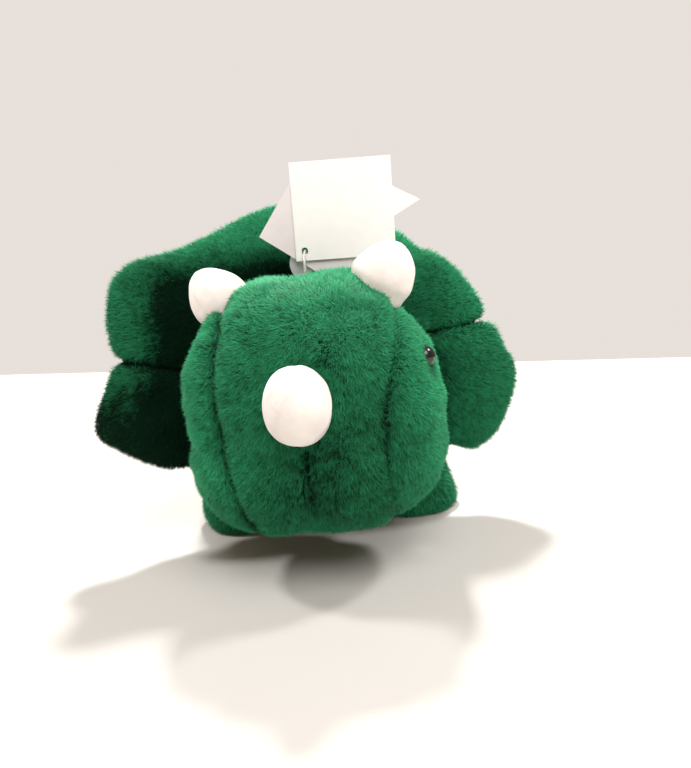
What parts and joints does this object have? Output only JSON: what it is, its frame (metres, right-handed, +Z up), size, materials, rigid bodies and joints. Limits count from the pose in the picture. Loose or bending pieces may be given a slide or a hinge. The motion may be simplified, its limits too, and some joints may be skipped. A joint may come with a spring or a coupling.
{
  "type": "stuffed dinosaur",
  "caption": "Green plush triceratops on four stubby legs, with a padded scalloped frill, three white horns and blank swing tags",
  "frame": {"origin": "centre of the bounding box at floor level, between the four feet", "axes": "+Z up; the toy faces -Y, its tail points to +Y, and its left side is +X"},
  "size_m": [0.2342, 0.3008, 0.1987],
  "materials": {
    "green_plush": "matte",
    "white_velour": "matte",
    "polyester_filling": "matte",
    "black_eye": "gloss",
    "eye_washer": "matte",
    "tag_card": "satin",
    "clear_plastic": "gloss",
    "label_satin": "satin"
  },
  "bodies": {
    "torso": {"body_skin_left": "green_plush", "body_skin_right": "green_plush", "belly_gusset_skin": "green_plush", "body_stuffing": "polyester_filling", "care_label": "label_satin"},
    "head": {"head_gusset_skin": "green_plush", "head_cheek_skin_left": "green_plush", "head_cheek_skin_right": "green_plush", "head_stuffing": "polyester_filling", "eye_left": "black_eye", "eye_right": "black_eye", "eye_washer_left": "eye_washer", "eye_washer_right": "eye_washer", "brow_horn_skin_left": "white_velour", "brow_horn_stuffing_left": "polyester_filling", "brow_horn_skin_right": "white_velour", "brow_horn_stuffing_right": "polyester_filling", "nose_horn_skin": "white_velour", "nose_horn_stuffing": "polyester_filling", "tag_loop": "clear_plastic"},
    "frill": {"frill_front_skin": "green_plush", "frill_back_skin": "green_plush", "frill_padding": "polyester_filling"},
    "tail": {"tail_skin": "green_plush", "tail_stuffing": "polyester_filling"},
    "tags": {"tag_card_front": "tag_card", "tag_card_middle": "tag_card", "tag_card_rear": "tag_card", "tag_disc": "clear_plastic"},
    "leg_front_left": {"leg_front_left_skin": "green_plush", "leg_front_left_sole": "green_plush", "leg_front_left_stuffing": "polyester_filling"},
    "leg_front_right": {"leg_front_right_skin": "green_plush", "leg_front_right_sole": "green_plush", "leg_front_right_stuffing": "polyester_filling"},
    "leg_rear_left": {"leg_rear_left_skin": "green_plush", "leg_rear_left_sole": "green_plush", "leg_rear_left_stuffing": "polyester_filling"},
    "leg_rear_right": {"leg_rear_right_skin": "green_plush", "leg_rear_right_sole": "green_plush", "leg_rear_right_stuffing": "polyester_filling"}
  },
  "joints": [
    {"name": "neck_turn", "type": "hinge", "parent": "torso", "child": "head", "pos_m": [0, -0.024, 0.088], "axis": [0, 0, 1], "range_deg": [-3, 15], "stiffness_Nm_per_rad": 0.5},
    {"name": "frill_flex", "type": "hinge", "parent": "torso", "child": "frill", "pos_m": [0, -0.015, 0.095], "axis": [1, 0, 0], "range_deg": [-6, 2], "stiffness_Nm_per_rad": 0.6},
    {"name": "tail_wag", "type": "hinge", "parent": "torso", "child": "tail", "pos_m": [0, 0.102, 0.086], "axis": [0, 0, 1], "range_deg": [-15, 15], "stiffness_Nm_per_rad": 0.05},
    {"name": "tag_tilt", "type": "hinge", "parent": "head", "child": "tags", "pos_m": [-0.00417, -0.04763, 0.153], "axis": [0.9848, -0.1736, 0], "range_deg": [-3, 15]},
    {"name": "leg_swing_front_left", "type": "hinge", "parent": "torso", "child": "leg_front_left", "pos_m": [0.046, 0.011, 0.05], "axis": [1, 0, 0], "range_deg": [-12, 12], "stiffness_Nm_per_rad": 1.5},
    {"name": "leg_swing_front_right", "type": "hinge", "parent": "torso", "child": "leg_front_right", "pos_m": [-0.046, 0.011, 0.05], "axis": [1, 0, 0], "range_deg": [-12, 12], "stiffness_Nm_per_rad": 1.5},
    {"name": "leg_swing_rear_left", "type": "hinge", "parent": "torso", "child": "leg_rear_left", "pos_m": [0.042, 0.08, 0.052], "axis": [1, 0, 0], "range_deg": [-12, 12], "stiffness_Nm_per_rad": 1.5},
    {"name": "leg_swing_rear_right", "type": "hinge", "parent": "torso", "child": "leg_rear_right", "pos_m": [-0.042, 0.08, 0.052], "axis": [1, 0, 0], "range_deg": [-12, 12], "stiffness_Nm_per_rad": 1.5}
  ]
}
